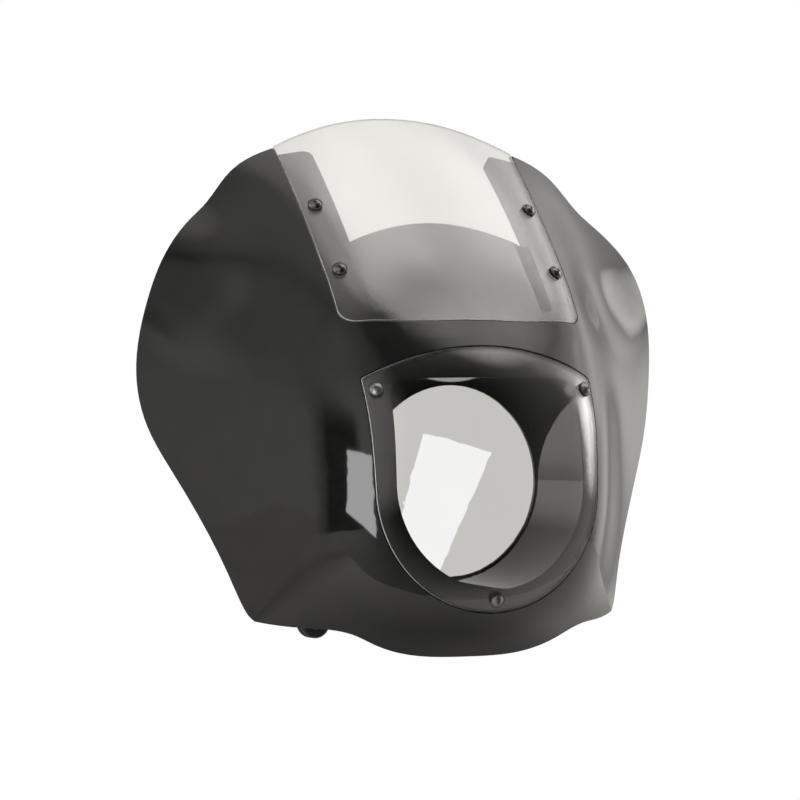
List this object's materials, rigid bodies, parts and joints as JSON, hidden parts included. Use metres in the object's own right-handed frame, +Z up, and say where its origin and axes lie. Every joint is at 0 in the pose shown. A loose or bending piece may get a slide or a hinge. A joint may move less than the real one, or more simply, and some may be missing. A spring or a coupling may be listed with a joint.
{
  "type": "motorcycle quarter fairing",
  "caption": "Gloss black motorcycle headlamp fairing with a clear windscreen, a clear shield-shaped lens, a round headlamp opening and fork brackets behind.",
  "frame": {"origin": "centre of the round headlamp opening on the front face of the back plate", "axes": "+X to the rider's left, +Y to the rear of the motorcycle, +Z up"},
  "size_m": [0.5078, 0.2167, 0.4704],
  "materials": {
    "black_shell": "high gloss",
    "clear_sheet": "clear polished polycarbonate",
    "dark_screws": "black oxide",
    "steel_screws": "zinc plated",
    "black_nylon": "satin",
    "rubber": "matte",
    "brass": "machined",
    "black_steel": "satin powder coat"
  },
  "bodies": {
    "root": {"fairing_shell": "black_shell", "windscreen": "clear_sheet", "headlamp_lens": "clear_sheet", "windscreen_screws": "dark_screws", "windscreen_washers": "black_nylon", "windscreen_well_nuts": "rubber", "well_nut_inserts": "brass", "lens_screws": "steel_screws", "lens_washers": "black_nylon", "lens_inserts": "brass", "left_fork_bracket": "black_steel", "right_fork_bracket": "black_steel", "boss_inserts": "brass", "bracket_bolts": "steel_screws", "bracket_washers": "steel_screws", "fork_cushions": "rubber", "cushion_sleeves": "steel_screws"}
  },
  "joints": []
}
